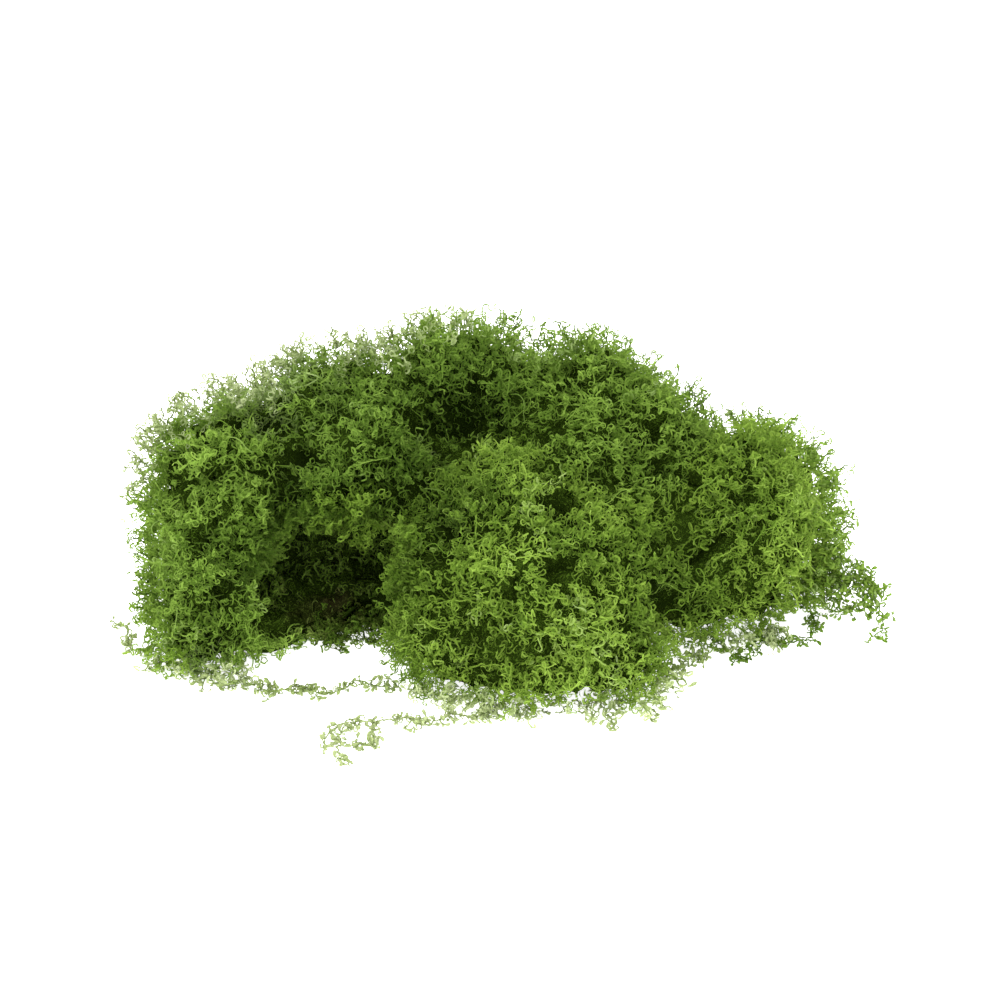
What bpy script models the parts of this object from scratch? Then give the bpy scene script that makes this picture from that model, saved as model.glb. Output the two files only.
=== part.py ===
"""A handful of loose moss: five cushions of curled strands pushed together on a flat base, and the
strands that trail from them along the surface.

Metres, +Z up. The origin is at the middle of the base, on the surface, and the front faces -Y.
Lobes and routes are given in millimetres and are scaled once, where their shape is made.
"""

import math

import bmesh
import bpy
from mathutils import Matrix, Vector, noise

MM = 0.001

# Gap that pieces keep where they touch, and the finest grain of a cushion's skin, in millimetres
FIT_GAP = 0.8
VOXEL = 2.0
LOBE_ROUNDNESS = 4

# The curled surface: rounded lumps with creases between them, and finer curls on top, in millimetres
LUMP_WIDTH = 14.0
LUMP_HEIGHT = 7.0
MEAN_REACH = 0.5
CURL_WIDTH = 6.0
CURL_HEIGHT = 1.6

# A free strand, with the curled leaves along it as swellings, in millimetres
STRAND_RADIUS = 1.25
STRAND_STEP = 2.6
LEAF_SPACING = 5.4
LEAF_SWELL = 0.45
STRAND_SIDES = 6
TIP_WIDTH = 0.45
TAPER_POINTS = 3

# Each cushion is a few rounded lobes grown into each other: centre and half sizes, in millimetres.
TUFT_LOBES = {
    "front_tuft": (
        ((6, -14, 24), (25, 28, 27)),
        ((7, -18, 4), (28, 33, 14)),
        ((-13, -22, 8), (14, 20, 15)),
        ((21, -25, 12), (19, 23, 17)),
        ((3, -4, 38), (14, 16, 14)),
        ((34, -12, 20), (12, 17, 19)),
        ((29, -31, 6), (14, 18, 14)),
        ((-12, -14, 22), (15, 17, 19)),
    ),
    "left_tuft": (
        ((-71, -4, 26), (17, 26, 25)),
        ((-71, -10, 4), (19, 24, 13)),
        ((-64, -18, 12), (10, 15, 15)),
        ((-69, 12, 36), (17, 20, 19)),
        ((-78, 4, 32), (12, 19, 20)),
    ),
    "right_tuft": (
        ((63, 6, 26), (19, 22, 26)),
        ((57, 2, 4), (20, 17, 12)),
        ((48, -7, 11), (14, 14, 15)),
        ((70, 14, 23), (14, 22, 22)),
        ((75, 10, 20), (11, 14, 17)),
    ),
    "shoulder_tuft": (
        ((23, 25, 41), (23, 24, 24)),
        ((38, 20, 34), (17, 20, 23)),
        ((20, 8, 40), (16, 16, 17)),
        ((8, 30, 41), (16, 20, 23)),
        ((34, 42, 17), (30, 28, 23)),
    ),
    "crown_tuft": (
        ((-13, 25, 43), (24, 25, 28)),
        ((-42, 24, 38), (21, 24, 25)),
        ((-60, 30, 32), (15, 20, 21)),
        ((-28, 6, 46), (17, 16, 15)),
        ((-41, 4, 37), (17, 13, 12)),
        ((-46, 40, 16), (28, 26, 21)),
        ((-8, 43, 18), (32, 27, 25)),
        ((-44, 2, -2), (24, 20, 9)),
        ((-44, 29, 13), (27, 15, 17)),
        ((-10, 24, 16), (28, 22, 18)),
    ),
}

# Hollows that open between the curls, sunk into a cushion: centre and half sizes, in millimetres.
TUFT_PITS = {
    "front_tuft": (
        ((16, -22, 46), (5, 8, 6)),
        ((14, -42, 26), (5, 8, 5)),
    ),
    "left_tuft": (
        ((-53, -13, 15), (10, 15, 13)),
    ),
    "right_tuft": (
        ((64, -14, 42), (5, 8, 5)),
        ((43, -18, 36), (5, 9, 5)),
    ),
    "shoulder_tuft": (
        ((46, -2, 54), (5, 8, 5)),
        ((11, -6, 56), (5, 9, 5)),
    ),
    "crown_tuft": (
        ((-48, -8, 16), (19, 18, 12)),
        ((-55, 0, 50), (5, 9, 9)),
        ((-8, 2, 54), (12, 12, 12)),
    ),
}

# The order in which the cushions yield to each other: each gives way to those before it.
TUFT_ORDER = ("front_tuft", "left_tuft", "right_tuft", "shoulder_tuft", "crown_tuft")

# Faces that a cushion is brought down to before it is fitted to its neighbours
TUFT_TRIANGLES = {
    "front_tuft": 1500,
    "left_tuft": 1150,
    "right_tuft": 1150,
    "shoulder_tuft": 1100,
    "crown_tuft": 1250,
}

# Routes of the free strands, from the cushion outwards, in millimetres.
STRAND_ROUTES = {
    "front_strand": (
        (2, -40, 1.8),
        (-1, -46.5, 1.4),
        (-6, -49, 1.3),
        (-12, -48, 1.3),
        (-17.5, -53, 1.3),
        (-23, -50, 1.3),
        (-30, -51, 1.3),
        (-37, -52, 1.3),
        (-41, -57.5, 1.3),
        (-42, -63, 1.3),
    ),
    "front_strand_fork": (
        (-37, -53, 1.3),
        (-38, -59.5, 1.3),
        (-37.5, -66, 1.3),
        (-34.5, -71, 1.3),
    ),
    "front_strand_branch": (
        (-30.6, -51, 1.3),
        (-30.4, -57, 1.3),
        (-30.2, -62, 1.3),
        (-34.5, -60.5, 1.3),
    ),
    "base_garland": (
        (-78, -25, 1.8),
        (-73, -31, 1.4),
        (-68, -34.5, 1.3),
        (-61, -34, 1.3),
        (-55, -38, 1.3),
        (-49, -35, 1.3),
        (-44, -38.5, 1.3),
        (-39, -37, 1.3),
        (-35, -32.5, 1.3),
        (-30, -35.5, 1.4),
        (-25, -37, 1.6),
    ),
    "front_tail": (
        (23.5, -40, 2.0),
        (25, -46, 1.4),
        (26.6, -50, 1.3),
        (27.2, -55, 1.3),
    ),
    "front_right_chain": (
        (35, -24, 2.0),
        (40, -28.5, 1.4),
        (44.5, -26.5, 1.3),
        (47.5, -20.5, 1.3),
        (50.5, -24.5, 1.3),
    ),
    "right_floor_strand": (
        (77, 5, 2.0),
        (80, -3, 1.4),
        (77.5, -12, 1.3),
        (71, -14.5, 1.3),
        (64.5, -14, 1.3),
        (61, -23.5, 1.3),
        (57, -19, 1.4),
        (54, -13, 1.6),
    ),
    "right_sprig": (
        (80, 7, 9.0),
        (87, 2, 9.2),
        (92.5, 2, 10.8),
        (96, -2, 9.6),
        (94.8, -5, 7.8),
        (96.6, -8.5, 4.4),
        (94.5, -12.5, 1.4),
    ),
    "left_loop": (
        (-86, -16, 1.8),
        (-91, -18.5, 1.4),
        (-94, -13, 1.3),
        (-94, -8, 1.3),
        (-98.5, -4.5, 1.3),
    ),
}

# A strand is trimmed back from the strand that it forks from.
STRAND_FORKS = {"front_strand_fork": "front_strand", "front_strand_branch": "front_strand"}

# Material name, then colour and roughness
FINISHES = {
    "shaded_green_moss": ((0.055, 0.115, 0.018), 0.85),
    "green_moss": ((0.105, 0.205, 0.028), 0.85),
    "bright_green_moss": ((0.175, 0.300, 0.038), 0.82),
    "pale_green_moss": ((0.330, 0.440, 0.160), 0.80),
}
TUFT_FINISH = {
    "front_tuft": "bright_green_moss",
    "left_tuft": "green_moss",
    "right_tuft": "bright_green_moss",
    "shoulder_tuft": "green_moss",
    "crown_tuft": "shaded_green_moss",
}
STRAND_FINISH = "pale_green_moss"


def clear_scene():
    for obj in list(bpy.data.objects):
        bpy.data.objects.remove(obj, do_unlink=True)


def moss_material(name):
    """A matt Principled material of the named finish, made once."""
    if name in bpy.data.materials:
        return bpy.data.materials[name]
    colour, roughness = FINISHES[name]
    material = bpy.data.materials.new(name)
    material.use_nodes = True
    shader = material.node_tree.nodes["Principled BSDF"]
    shader.inputs["Base Color"].default_value = (*colour, 1.0)
    shader.inputs["Roughness"].default_value = roughness
    shader.inputs["Metallic"].default_value = 0.0
    material.diffuse_color = (*colour, 1.0)
    return material


def new_object(name, mesh):
    obj = bpy.data.objects.new(name, mesh)
    bpy.context.scene.collection.objects.link(obj)
    return obj


def helper(obj):
    """Marks an object as a cutter, which is no part of the clump."""
    obj.hide_render = True
    obj.display_type = "WIRE"
    return obj


def ellipsoids(name, lobes):
    """One mesh of overlapping round bodies, each a unit ball stretched to its half sizes."""
    form = bmesh.new()
    for centre, half_sizes in lobes:
        place = Matrix.LocRotScale(Vector(centre) * MM, None, Vector(half_sizes) * MM)
        bmesh.ops.create_icosphere(form, subdivisions=LOBE_ROUNDNESS, radius=1.0, matrix=place)
    mesh = bpy.data.meshes.new(name)
    form.to_mesh(mesh)
    form.free()
    return new_object(name, mesh)


def settle(obj):
    """Replaces the object's mesh with what its modifiers make of it."""
    graph = bpy.context.evaluated_depsgraph_get()
    obj.data = bpy.data.meshes.new_from_object(obj.evaluated_get(graph))
    obj.modifiers.clear()


def cut(obj, cutter, name):
    modifier = obj.modifiers.new(name, "BOOLEAN")
    modifier.operation = "DIFFERENCE"
    modifier.solver = "EXACT"
    modifier.object = cutter


def grow_together(obj):
    """Joins overlapping lobes into one closed skin."""
    remesh = obj.modifiers.new("grown_together", "REMESH")
    remesh.mode = "VOXEL"
    remesh.voxel_size = VOXEL * MM
    settle(obj)


def lump_height(place):
    """Height at a place: highest at each lump's middle, lowest in the creases, plus the finer curls."""
    nearest = noise.voronoi(place / (LUMP_WIDTH * MM))[0][0]
    lump = LUMP_HEIGHT * (MEAN_REACH - nearest)
    curl = CURL_HEIGHT * noise.noise(place / (CURL_WIDTH * MM))
    return (lump + curl) * MM


def crumple(mesh):
    """Moves each vertex out or in along its normal by the height of the curls there."""
    normals = [vertex.normal.copy() for vertex in mesh.vertices]
    for vertex, normal in zip(mesh.vertices, normals):
        vertex.co += normal * lump_height(vertex.co.copy())


def simplify(obj, triangles):
    """Brings the skin down to about so many faces, which keeps its lumps."""
    obj.data.calc_loop_triangles()
    decimate = obj.modifiers.new("simplified", "DECIMATE")
    decimate.ratio = triangles / len(obj.data.loop_triangles)
    decimate.use_collapse_triangulate = True


def keep_largest_body(mesh):
    """Deletes the loose crumbs that a cut leaves, and keeps the biggest connected body."""
    form = bmesh.new()
    form.from_mesh(mesh)
    unseen = set(form.verts)
    bodies = []
    while unseen:
        front = [unseen.pop()]
        body = set(front)
        while front:
            vertex = front.pop()
            near = {edge.other_vert(vertex) for edge in vertex.link_edges} & unseen
            unseen -= near
            body |= near
            front.extend(near)
        bodies.append(body)
    largest = max(bodies, key=len)
    crumbs = [vertex for body in bodies if body is not largest for vertex in body]
    bmesh.ops.delete(form, geom=crumbs, context="VERTS")
    form.to_mesh(mesh)
    form.free()


def stand_flat(mesh):
    """Cuts the mesh off flat at the surface, z = 0, and closes the cut."""
    form = bmesh.new()
    form.from_mesh(mesh)
    parts = form.verts[:] + form.edges[:] + form.faces[:]
    sliced = bmesh.ops.bisect_plane(
        form, geom=parts, plane_co=(0, 0, 0), plane_no=(0, 0, -1), clear_outer=True
    )
    rim = [part for part in sliced["geom_cut"] if isinstance(part, bmesh.types.BMEdge)]
    if rim:
        bmesh.ops.triangle_fill(form, edges=rim, use_beauty=True)
    bmesh.ops.recalc_face_normals(form, faces=form.faces[:])
    form.to_mesh(mesh)
    form.free()


def room_for(obj):
    """A cutter a little larger than the object, which leaves the gap that touching pieces keep."""
    mesh = obj.data.copy()
    normals = [vertex.normal.copy() for vertex in mesh.vertices]
    for vertex, normal in zip(mesh.vertices, normals):
        vertex.co += normal * FIT_GAP * MM
    return helper(new_object("room_for_" + obj.name, mesh))


def finish(obj, finish_name):
    obj.data.materials.clear()
    obj.data.materials.append(moss_material(finish_name))
    obj.data.shade_smooth()


def moss_tuft(name, rooms):
    """One cushion: lobes grown together, hollowed, crumpled, cut flat, and fitted to its neighbours."""
    obj = ellipsoids(name, TUFT_LOBES[name])
    grow_together(obj)
    if TUFT_PITS[name]:
        pits = helper(ellipsoids(name + "_pits", TUFT_PITS[name]))
        grow_together(pits)
        cut(obj, pits, "pits")
    grow_together(obj)
    crumple(obj.data)
    grow_together(obj)
    simplify(obj, TUFT_TRIANGLES[name])
    settle(obj)
    for room in rooms:
        cut(obj, room, room.name)
    settle(obj)
    stand_flat(obj.data)
    keep_largest_body(obj.data)
    finish(obj, TUFT_FINISH[name])
    return obj


def smooth_route(corners):
    """Points about a strand's step apart on a curve that runs smoothly through the corners."""
    ends = [corners[0] * 2 - corners[1], *corners, corners[-1] * 2 - corners[-2]]
    route = []
    for before, start, end, after in zip(ends, ends[1:], ends[2:], ends[3:]):
        steps = max(1, round((end - start).length / STRAND_STEP))
        for step in range(steps):
            t = step / steps
            route.append(
                0.5
                * (
                    start * 2
                    + (end - before) * t
                    + (before * 2 - start * 5 + end * 4 - after) * t**2
                    + (start * 3 - before - end * 3 + after) * t**3
                )
            )
    return [*route, corners[-1]]


def moss_strand(name, rooms):
    """A free strand: a tube along its route that swells at each curled leaf and tapers at its tip."""
    route = smooth_route([Vector(corner) for corner in STRAND_ROUTES[name]])
    curve = bpy.data.curves.new(name, "CURVE")
    curve.dimensions = "3D"
    curve.bevel_depth = STRAND_RADIUS * MM
    curve.bevel_resolution = (STRAND_SIDES - 4) // 2
    curve.use_fill_caps = True
    spline = curve.splines.new("POLY")
    spline.points.add(len(route) - 1)
    travelled = 0.0
    for index, place in enumerate(route):
        if index:
            travelled += (place - route[index - 1]).length
        swell = LEAF_SWELL * math.sin(2 * math.pi * travelled / LEAF_SPACING)
        points_left = len(route) - 1 - index
        taper = min(1.0, TIP_WIDTH + (1.0 - TIP_WIDTH) * points_left / TAPER_POINTS)
        spline.points[index].co = (*(place * MM), 1.0)
        spline.points[index].radius = (1.0 + swell) * taper
    obj = new_object(name, curve)
    graph = bpy.context.evaluated_depsgraph_get()
    tube = bpy.data.meshes.new_from_object(obj.evaluated_get(graph))
    bpy.data.objects.remove(obj, do_unlink=True)
    obj = new_object(name, tube)
    for room in rooms:
        cut(obj, room, room.name)
    settle(obj)
    stand_flat(obj.data)
    keep_largest_body(obj.data)
    finish(obj, STRAND_FINISH)
    return obj


def main():
    clear_scene()
    tuft_rooms = []
    for name in TUFT_ORDER:
        tuft_rooms.append(room_for(moss_tuft(name, tuft_rooms)))
    strand_rooms = {}
    for name in STRAND_ROUTES:
        rooms = list(tuft_rooms)
        if name in STRAND_FORKS:
            rooms.append(strand_rooms[STRAND_FORKS[name]])
        strand = moss_strand(name, rooms)
        strand_rooms[name] = room_for(strand)


if __name__ == "__main__":
    main()
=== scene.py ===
import math

import bpy
import numpy as np
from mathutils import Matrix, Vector
from mathutils.bvhtree import BVHTree
from mathutils.kdtree import KDTree


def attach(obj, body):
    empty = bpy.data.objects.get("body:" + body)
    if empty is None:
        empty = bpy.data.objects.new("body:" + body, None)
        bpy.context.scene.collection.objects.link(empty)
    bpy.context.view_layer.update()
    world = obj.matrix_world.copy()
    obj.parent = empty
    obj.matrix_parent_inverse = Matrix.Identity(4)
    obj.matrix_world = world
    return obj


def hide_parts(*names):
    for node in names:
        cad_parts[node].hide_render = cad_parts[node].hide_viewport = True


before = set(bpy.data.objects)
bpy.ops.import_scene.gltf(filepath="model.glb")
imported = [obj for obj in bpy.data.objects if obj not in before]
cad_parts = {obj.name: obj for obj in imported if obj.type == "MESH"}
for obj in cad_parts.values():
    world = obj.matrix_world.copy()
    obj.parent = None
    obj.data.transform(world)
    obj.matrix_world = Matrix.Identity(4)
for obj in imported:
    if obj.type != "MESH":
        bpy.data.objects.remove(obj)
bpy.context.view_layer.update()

MM = 0.001


# The shaded heart
# The old strands inside a clump of moss are packed into a crumbly mass, brown where they are dead, and
# coloured dark as painted shade of the clump's deep inside.
# It follows the cushions' skin some millimetres inside it, bridges the narrow clefts between them, and
# every living strand grows out of it.

HEART_DEPTH = 4.6 * MM
HEART_CRUMB = 0.8 * MM
HEART_GRAIN = 1.8 * MM
HEART_RELIEF = 0.8
HEART_FOOT = 0.2 * MM
CLEFT_BRIDGE = 2.6 * MM
EASING_ROUNDS = 2
SAME_PLACE = 0.001 * MM
# Slot of each cushion; the shaded and bright slots are darker and lighter copies of one green: painted shade
# and light
CUSHIONS = {
    "left_tuft": "green_moss",
    "crown_tuft": "shaded_green_moss",
    "shoulder_tuft": "green_moss",
    "front_tuft": "bright_green_moss",
    "right_tuft": "bright_green_moss",
}


def unit(vectors):
    """Each vector over its length."""
    return vectors / np.maximum(np.linalg.norm(vectors, axis=-1, keepdims=True), 1e-12)


def smooth_step(low, high, value):
    """0 below low, 1 above high, and 3t^2 - 2t^3 between."""
    t = np.clip((value - low) / (high - low), 0, 1)
    return t * t * (3 - 2 * t)


def mesh_arrays(mesh):
    """A mesh's corners and triangles, with the corners that share a place made one."""
    mesh.calc_loop_triangles()
    places = np.empty(len(mesh.vertices) * 3, np.float32)
    mesh.vertices.foreach_get("co", places)
    triangles = np.empty(len(mesh.loop_triangles) * 3, np.int32)
    mesh.loop_triangles.foreach_get("vertices", triangles)
    places = places.reshape(-1, 3).astype(float)
    keys = np.round(places / SAME_PLACE).astype(np.int64)
    _, first, index = np.unique(keys, axis=0, return_index=True, return_inverse=True)
    triangles = index.reshape(-1)[triangles].reshape(-1, 3)
    whole = (triangles != np.roll(triangles, 1, axis=1)).all(axis=1)
    return places[first], triangles[whole]


def face_normals(corners):
    """Each triangle's normal, as long as twice its area: (b - a) x (c - a)."""
    return np.cross(corners[:, 1] - corners[:, 0], corners[:, 2] - corners[:, 0])


def skin_normals(places, triangles):
    """Each corner's normal: the sum of its faces' normals, which counts a large face more."""
    across = face_normals(places[triangles])
    normals = np.zeros_like(places)
    for side in range(3):
        np.add.at(normals, triangles[:, side], across)
    return unit(normals)


def eased(places, triangles, rounds):
    """Each corner moved half way to the mean of its neighbours, a few rounds over."""
    ends = np.concatenate([triangles[:, [0, 1]], triangles[:, [1, 2]], triangles[:, [2, 0]]])
    for _ in range(rounds):
        total = np.zeros_like(places)
        np.add.at(total, ends[:, 0], places[ends[:, 1]])
        count = np.bincount(ends[:, 0], minlength=len(places))[:, None]
        places = (places + total / np.maximum(count, 1)) / 2
    return places


def grown_skin(places, triangles, growth):
    """The skin moved along its normals by the growth, and drawn again as one closed skin of even grain."""
    places = places + skin_normals(places, triangles) * growth
    mesh = bpy.data.meshes.new("skin")
    mesh.from_pydata(places.tolist(), [], triangles.tolist())
    holder = bpy.data.objects.new("skin", mesh)
    bpy.context.scene.collection.objects.link(holder)
    remesh = holder.modifiers.new("grain", "REMESH")
    remesh.mode = "VOXEL"
    remesh.voxel_size = HEART_GRAIN
    shown = holder.evaluated_get(bpy.context.evaluated_depsgraph_get())
    places, triangles = mesh_arrays(shown.to_mesh())
    bpy.data.objects.remove(holder)
    bpy.data.meshes.remove(mesh)
    return eased(places, triangles, EASING_ROUNDS), triangles


def even_directions(count):
    """Directions spread evenly over the ball: the golden angle round, and equal steps in height."""
    step = np.arange(count) + 0.5
    height = 1 - 2 * step / count
    turn = step * math.pi * (3 - math.sqrt(5))
    flat = np.sqrt(1 - height**2)
    return np.stack([flat * np.cos(turn), flat * np.sin(turn), height], axis=1)


WAVES = 24


def waves(places, width, seed):
    """Smooth noise, mostly between -1 and 1: the sum of sin(k . place + phase) over random directions k, for
    waves from two thirds to twice as wide as given, over the root of their number.
    """
    dice = np.random.default_rng(seed)
    directions = unit(dice.normal(size=(WAVES, 3))) * (2 * math.pi / width)
    directions *= dice.uniform(0.55, 1.45, size=(WAVES, 1))
    phases = dice.uniform(0, 2 * math.pi, size=WAVES)
    return np.sin(places @ directions.T + phases).sum(axis=1) / math.sqrt(WAVES)


joined_places = []
joined_triangles = []
cushion_trees = {}
for name in CUSHIONS:
    places, triangles = mesh_arrays(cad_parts[name].data)
    cushion_trees[name] = BVHTree.FromPolygons(places.tolist(), triangles.tolist(), all_triangles=True)
    joined_triangles.append(triangles + sum(map(len, joined_places)))
    joined_places.append(places)
skin, skin_faces = np.concatenate(joined_places), np.concatenate(joined_triangles)
skin, skin_faces = grown_skin(skin, skin_faces, CLEFT_BRIDGE)
skin, skin_faces = grown_skin(skin, skin_faces, -CLEFT_BRIDGE)
skin_out = skin_normals(skin, skin_faces)

# The strands stand a little outside the solids' skin, and look for the sky from a little above it
SKIN_LIFT = 0.3 * MM
LOOK_FROM = 1.2 * MM
SKY = even_directions(40)
LOWEST_RAY = 0.12
SHADE_REACH = 40 * MM
clump_tree = BVHTree.FromPolygons(skin.tolist(), skin_faces.tolist(), all_triangles=True)


def openness(places, normals):
    """Share of the sky that each place sees past the cushions within reach. Each direction above the skin
    counts by its cosine to the normal.
    """
    shares = []
    for place, normal in zip(places, normals):
        rays = SKY[SKY @ normal > LOWEST_RAY]
        weights = rays @ normal
        start = Vector(place + normal * (LOOK_FROM - SKIN_LIFT))
        clear = [clump_tree.ray_cast(start, Vector(ray), SHADE_REACH)[0] is None for ray in rays]
        shares.append((weights * clear).sum() / weights.sum())
    return np.array(shares)


def scattered(count, dice):
    """Places on the skin, as many on every square millimetre, with their normals."""
    corners = skin[skin_faces]
    areas = np.linalg.norm(face_normals(corners), axis=1)
    chosen = dice.choice(len(skin_faces), size=count, p=areas / areas.sum())
    shares = dice.dirichlet((1, 1, 1), size=count)[:, :, None]
    outward = unit((skin_out[skin_faces[chosen]] * shares).sum(axis=1))
    return (corners[chosen] * shares).sum(axis=1) + outward * SKIN_LIFT, outward


def evenly_scattered(count, spacing, dice):
    """Places on the skin no nearer to each other than the spacing."""
    found, outward = scattered(count, dice)
    kept = np.full((count, 3), 1e3)
    order = []
    for index, place in enumerate(found):
        if ((kept[: len(order)] - place) ** 2).sum(axis=1).min(initial=1) > spacing**2:
            kept[len(order)] = place
            order.append(index)
    return found[order], outward[order]


GROUP_HEIGHTS = 1.4 * MM
GROUP_TONES = 0.06


class Grouping:
    """Strands grow in groups with creases between: each has a middle, a height and a tone of its own."""

    def __init__(self, tries, spacing, crease, sharpness, seed):
        dice = np.random.default_rng(seed)
        self.middles, self.outward = evenly_scattered(tries, spacing, dice)
        count = len(self.middles)
        self.heights = dice.uniform(-GROUP_HEIGHTS, GROUP_HEIGHTS, size=count)
        self.tones = dice.normal(size=count) * GROUP_TONES
        self.crease = crease
        self.sharpness = sharpness
        self.tree = KDTree(count)
        for index, middle in enumerate(self.middles.tolist()):
            self.tree.insert(middle, index)
        self.tree.balance()

    def relief(self, places):
        """Height and tone at each place. With r = nearest middle's gap / second nearest's, the group's own
        height counts by 1 - r^p, and the crease by r^p, less where groups have grown together.
        """
        found = [self.tree.find_n(place, 2) for place in places.tolist()]
        gaps = np.array([[near[2] for near in pair] for pair in found])
        nearest = np.array([pair[0][1] for pair in found])
        border = (gaps[:, 0] / gaps[:, 1]) ** self.sharpness
        apart = np.clip(0.75 + 0.4 * waves(places, 18 * MM, 9), 0.3, 1.1)
        height = self.heights[nearest] * (1 - border) - self.crease * border * apart
        return height, self.tones[nearest] * (1 - border)


bunches = Grouping(tries=9000, spacing=4.8 * MM, crease=3.3 * MM, sharpness=2, seed=52)
lumps = Grouping(tries=2500, spacing=10.5 * MM, crease=3.8 * MM, sharpness=3, seed=54)

# Small hollows between the bunches, sunk deeper and darkened with painted shade, which open to the front and
# up: place and radius in mm
HOLLOWS = (
    ((15.1, -15.9, 42.2), 3.2),
    ((14.1, -37.0, 34.3), 3.0),
    ((40.6, -24.8, 18.4), 2.6),
    ((44.7, -3.8, 27.5), 2.2),
    ((47.7, -1.5, 41.0), 2.0),
    ((62.9, -16.6, 34.5), 1.8),
    ((-71.7, -12.4, 47.0), 1.8),
    ((-73.4, -25.1, 37.2), 1.8),
    ((-15.7, -27.6, 31.7), 2.2),
    ((1.7, -40.0, 31.1), 1.8),
    ((9.7, -12.2, 50.4), 2.0),
    ((14.1, 1.7, 54.6), 2.0),
    ((-49.5, -0.3, 46.8), 2.4),
    ((-39.5, 30.4, 61.2), 1.6),
    ((-23.8, 17.3, 65.9), 1.6),
    ((38.7, 8.5, 50.7), 1.8),
    ((49.4, -14.3, 24.8), 2.2),
)
HOLLOW_IN = unit(np.array([0.0, 0.88, -0.47]))
HOLLOW_REACH = (-4.0 * MM, 3.5 * MM)
HOLLOW_DEPTH = 3 * MM


def hollow_gap(places):
    """How many radii each place is away from the axis of the nearest hollow."""
    gap = np.full(places.shape[:-1], 99.0)
    for middle, radius in HOLLOWS:
        offset = places - np.array(middle) * MM
        along = np.clip(offset @ HOLLOW_IN, *HOLLOW_REACH)
        away = np.linalg.norm(offset - along[..., None] * HOLLOW_IN, axis=-1)
        gap = np.minimum(gap, away / (radius * MM))
    return gap


class Number:
    """A number on a material's socket: arithmetic on it adds Math nodes."""

    def __init__(self, finish, socket):
        self.finish = finish
        self.socket = socket

    def maths(self, operation, *values):
        """What a Math node makes of the values."""
        inputs = dict(enumerate(values))
        return self.finish.node("ShaderNodeMath", {"operation": operation}, inputs)

    def __add__(self, other):
        return self.maths("ADD", self, other)

    def __radd__(self, other):
        return self.maths("ADD", other, self)

    def __sub__(self, other):
        return self.maths("SUBTRACT", self, other)

    def __rsub__(self, other):
        return self.maths("SUBTRACT", other, self)

    def __mul__(self, other):
        return self.maths("MULTIPLY", self, other)

    def __rmul__(self, other):
        return self.maths("MULTIPLY", other, self)

    def size(self):
        """Its distance from 0."""
        return self.maths("ABSOLUTE", self)

    def most(self, other):
        """The larger of the two."""
        return self.maths("MAXIMUM", self, other)

    def between(self, low, high):
        """0 below low, 1 above high, and a straight slope between."""
        inputs = {"Value": self, "From Min": low, "From Max": high}
        return self.finish.node("ShaderNodeMapRange", {"clamp": True}, inputs)


class Finish:
    """A Principled material and the nodes that feed it."""

    def __init__(self, name):
        self.material = bpy.data.materials.new(name)
        self.material.use_nodes = True
        self.tree = self.material.node_tree
        self.shader = self.tree.nodes["Principled BSDF"]

    def node(self, kind, settings, inputs, output=0):
        """Adds a node: settings first, a ramp's stops among them, then its sockets' values or links."""
        made = self.tree.nodes.new(kind)
        for setting, value in settings.items():
            if setting == "stops":
                ramp = made.color_ramp.elements
                while len(ramp) < len(value):
                    ramp.new(0.5)
                for element, (position, colour) in zip(ramp, value):
                    element.position = position
                    element.color = (*colour, 1)
            else:
                setattr(made, setting, value)
        for socket, value in inputs.items():
            self.fill(made.inputs[socket], value)
        return Number(self, made.outputs[output])

    def fill(self, socket, value):
        """Links a Number to the socket, or sets the socket to a plain value."""
        if isinstance(value, Number):
            self.tree.links.new(value.socket, socket)
        else:
            socket.default_value = value

    def feed(self, socket, value):
        """Fills one of the Principled shader's own sockets."""
        self.fill(self.shader.inputs[socket], value)

    def ramp(self, share, *stops):
        """The colour at a share of the way along the stops, each of which is a position and a colour."""
        return self.node("ShaderNodeValToRGB", {"stops": stops}, {0: share})

    def blend(self, share, first, second):
        """The second colour over the first by a share."""
        return self.node("ShaderNodeMix", {"data_type": "RGBA"}, {0: share, 6: first, 7: second}, 2)

    def tone_and_hue(self, tint):
        """A tint's first two numbers: how light the moss is, and how far from dead towards bleached."""
        tone = self.node("ShaderNodeSeparateXYZ", {}, {0: tint})
        return tone, Number(self, tone.socket.node.outputs["Y"])

    def noise(self, places, scale, detail=3.0, roughness=0.6):
        """Cloudy noise from 0 to 1, finer as the scale goes up."""
        inputs = {"Vector": places, "Scale": scale, "Detail": detail, "Roughness": roughness}
        return self.node("ShaderNodeTexNoise", {}, inputs)

    def bump(self, height, strength, distance):
        """Relief on the surface, as high as the distance where the height is 1."""
        inputs = {"Height": height, "Strength": strength, "Distance": distance}
        self.feed("Normal", self.node("ShaderNodeBump", {}, inputs))

    def let_light_through(self, colour, share):
        """A share of the light passes through the surface and takes on the colour."""
        behind = self.node("ShaderNodeBsdfTranslucent", {}, {"Color": (*colour, 1)})
        front = Number(self, self.shader.outputs[0])
        mixed = self.node("ShaderNodeMixShader", {}, {0: share, 1: front, 2: behind})
        self.tree.links.new(mixed.socket, self.tree.nodes["Material Output"].inputs["Surface"])


# Tone of moss in full shade, then painted light and shade: what the open sky and a rise add to it, and what
# a hollow takes; and green's hue
SHADED_TONE = 0.50
PAINTED_SKY_LIGHT = 0.22
PAINTED_RELIEF_SHADE = 0.05 / MM
PAINTED_HOLLOW_SHADE = 0.16
LIVING_HUE = 0.45
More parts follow.
